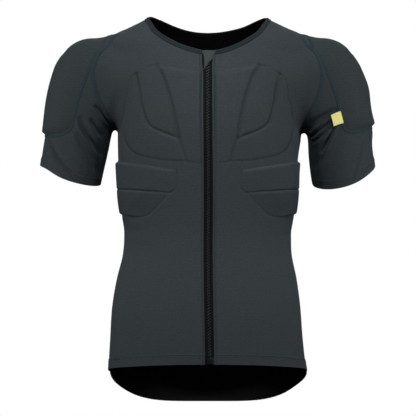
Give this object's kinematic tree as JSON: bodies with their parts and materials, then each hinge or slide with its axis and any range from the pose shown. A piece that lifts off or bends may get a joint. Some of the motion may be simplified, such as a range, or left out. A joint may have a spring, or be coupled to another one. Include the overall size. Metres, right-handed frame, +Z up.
{
  "type": "short-sleeved protective vest",
  "caption": "Close-fitting short-sleeved protective vest with a full front zip, padded chest, rib and shoulder panels and a dropped back hem, filled out as worn.",
  "frame": {"origin": "on the vest's middle plane at the height where the wearer's shoulders carry it, midway between front and back", "axes": "+Z up through the neck, front faces -Y, +X towards the wearer's left sleeve"},
  "size_m": [0.6196, 0.2389, 0.7223],
  "materials": {
    "cloth": "smooth stretch knit",
    "pad_cloth": "matt stretch knit",
    "binding": "ribbed stretch binding",
    "zip_tape": "woven tape",
    "zip_coil": "moulded coil",
    "label": "woven label"
  },
  "bodies": {
    "root": {"front_right": "cloth", "front_left": "cloth", "back": "cloth", "sleeve_right": "cloth", "sleeve_left": "cloth", "shoulder_right": "pad_cloth", "shoulder_left": "pad_cloth", "neck_binding": "binding", "zip_garage": "cloth", "zip_tape_right": "zip_tape", "zip_tape_left": "zip_tape", "zip_coil": "zip_coil", "zip_slider": "zip_coil", "zip_stop": "zip_coil", "sleeve_label": "label"}
  },
  "joints": []
}
